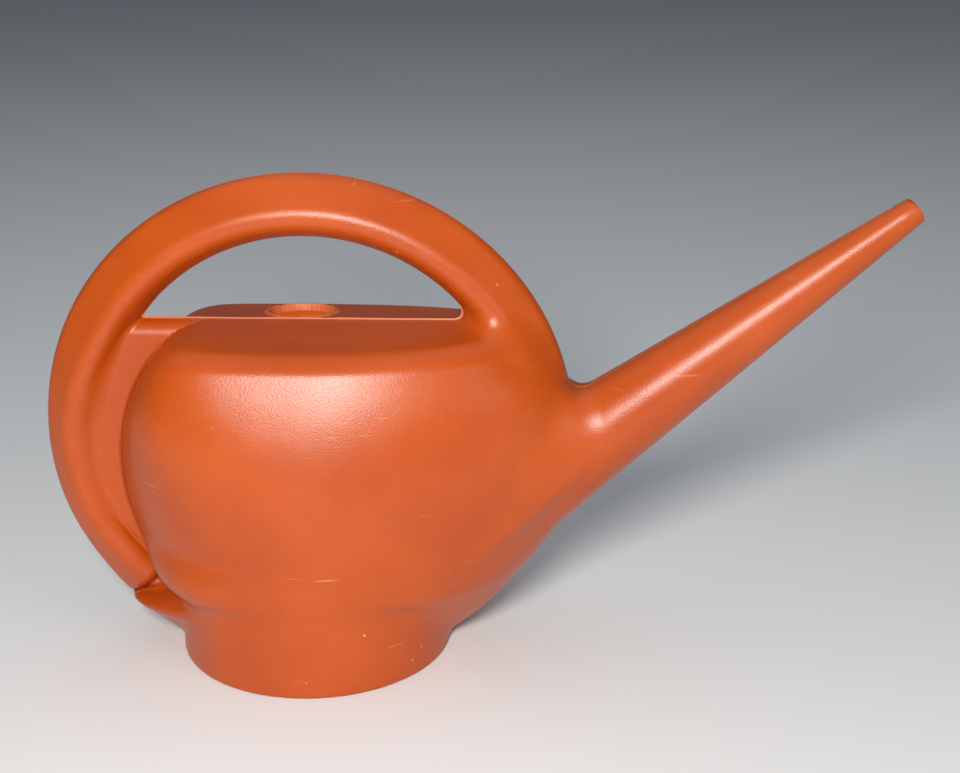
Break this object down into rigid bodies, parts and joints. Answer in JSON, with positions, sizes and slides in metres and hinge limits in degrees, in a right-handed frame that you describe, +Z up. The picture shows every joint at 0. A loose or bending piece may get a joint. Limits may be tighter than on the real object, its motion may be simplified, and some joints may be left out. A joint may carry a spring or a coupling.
{
  "type": "watering can",
  "caption": "One-piece blow-moulded watering can: ring handle with finger opening, flat deck with fill hole, long tapered spout, round foot.",
  "frame": {"origin": "centre of the round foot, on the ground", "axes": "+X from the tank towards the spout, +Z up; y = 0 is the parting plane of the moulding"},
  "size_m": [0.4696, 0.1522, 0.2696],
  "materials": {
    "moulded_plastic": "fine-grained matt, lightly scuffed",
    "trimmed_edge": "trimmed or pinched-off edge, a little paler than the moulding"
  },
  "bodies": {
    "root": {"tank_right_half": "moulded_plastic", "tank_left_half": "moulded_plastic", "foot_skirt": "moulded_plastic", "base_panel": "moulded_plastic", "fill_rim": "trimmed_edge", "spout_tube": "moulded_plastic", "spout_tip": "moulded_plastic", "handle_grip": "moulded_plastic", "handle_back_tube": "moulded_plastic", "handle_web": "moulded_plastic", "opening_flash": "trimmed_edge"}
  },
  "joints": []
}
